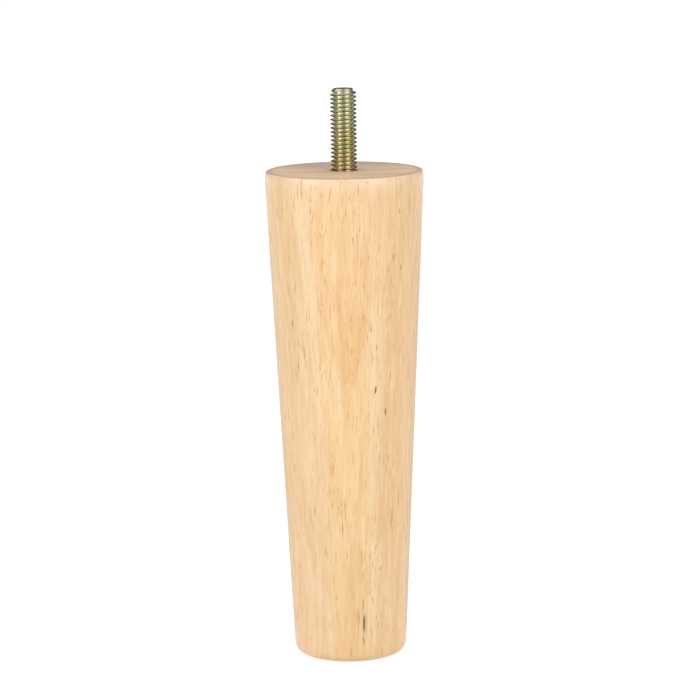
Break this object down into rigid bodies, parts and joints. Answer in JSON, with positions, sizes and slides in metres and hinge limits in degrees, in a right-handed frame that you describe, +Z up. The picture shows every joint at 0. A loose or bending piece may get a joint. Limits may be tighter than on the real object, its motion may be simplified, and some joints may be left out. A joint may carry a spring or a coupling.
{
  "type": "tapered wooden furniture leg",
  "caption": "Round straight-tapered wooden furniture leg with a rounded foot edge, a flat top face and a threaded hanger bolt standing up from the middle of the top.",
  "frame": {"origin": "middle of the foot's flat underside, where the leg stands on the floor", "axes": "+Z up along the leg's axis and out through the stud; the leg is round, so +X and +Y may point anywhere"},
  "size_m": [0.0484, 0.0484, 0.1748],
  "materials": {
    "lacquered_wood": "pale straight-grained hardwood under a clear satin lacquer",
    "zinc_steel": "yellow-passivated zinc plating, bright and slightly iridescent"
  },
  "bodies": {
    "root": {"leg": "lacquered_wood", "hanger_bolt": "zinc_steel"}
  },
  "joints": []
}
